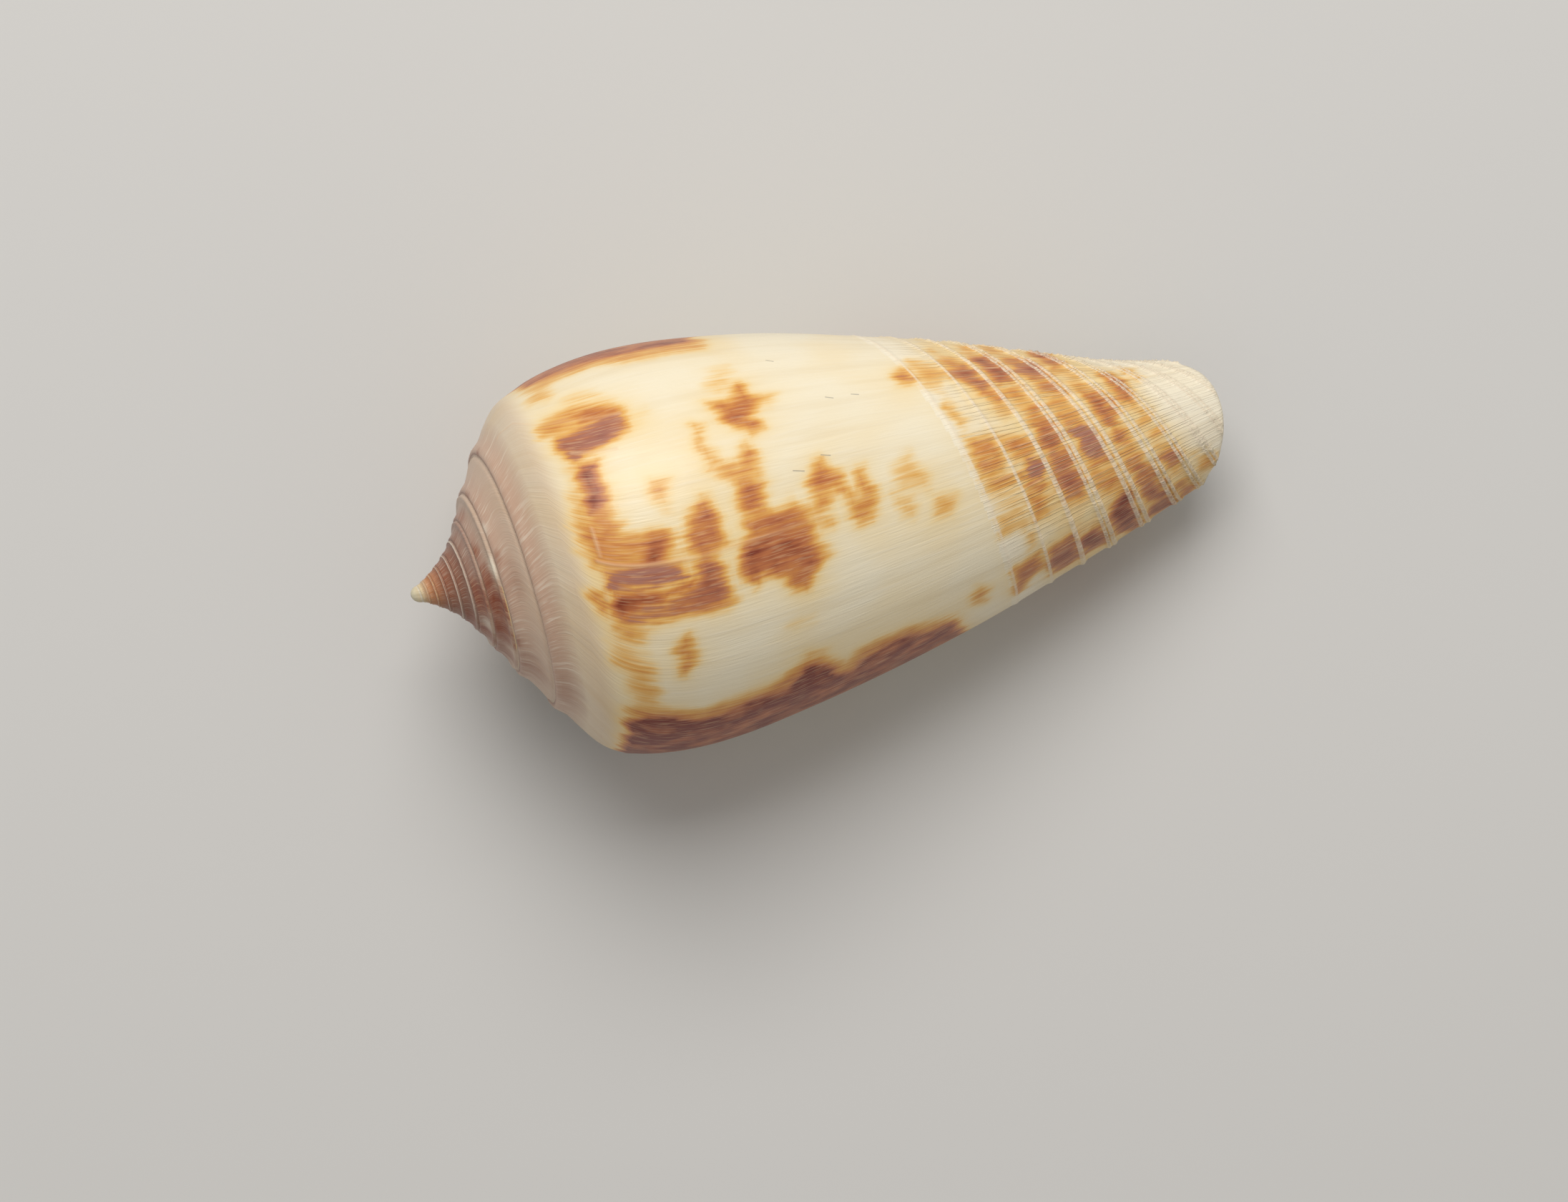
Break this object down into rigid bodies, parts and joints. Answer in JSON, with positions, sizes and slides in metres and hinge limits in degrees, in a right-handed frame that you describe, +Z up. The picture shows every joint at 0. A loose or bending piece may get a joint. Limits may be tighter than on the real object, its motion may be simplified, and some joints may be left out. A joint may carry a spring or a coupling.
{
  "type": "cone seashell",
  "caption": "Cone seashell with a pointed hollow-sided spire, a long tapering last turn, fine cords round its front and a slit aperture underneath.",
  "frame": {"origin": "centre of the bounding box's underside, on the surface the shell lies on", "axes": "+X from the apex towards the front end, +Z up, with the aperture facing down"},
  "size_m": [0.047, 0.023, 0.0211],
  "materials": {
    "shell": "satin, cream with ochre and dark brown marks"
  },
  "bodies": {
    "root": {"shell": "shell"}
  },
  "joints": []
}
